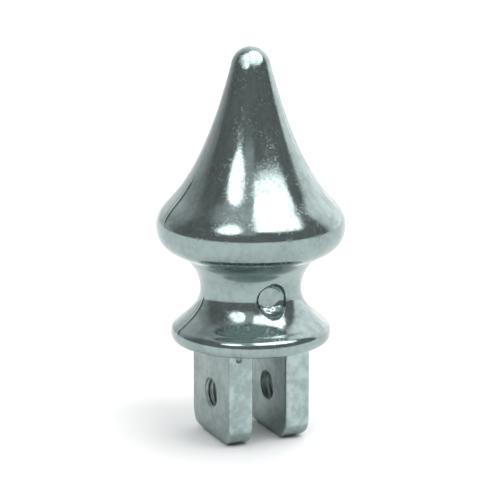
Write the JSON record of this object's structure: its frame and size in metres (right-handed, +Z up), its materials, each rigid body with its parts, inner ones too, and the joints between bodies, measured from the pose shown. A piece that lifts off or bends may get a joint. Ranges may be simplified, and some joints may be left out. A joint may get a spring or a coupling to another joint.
{
  "type": "street sign finial bracket",
  "caption": "Cast finial bracket: hollow-sided spire with a round tip, flared skirt, waisted neck and round flange over a slotted two-eared fork with cross screw holes.",
  "frame": {"origin": "midway between the two ears, level with their bottoms", "axes": "+Z up through the tip, the slot along Y, the screw holes along X, the neck recess on the -Y side"},
  "size_m": [0.0492, 0.0492, 0.1025],
  "materials": {
    "cast_aluminium": "buffed casting, bright above and satin on the ears"
  },
  "bodies": {
    "root": {"finial_bracket": "cast_aluminium"}
  },
  "joints": []
}
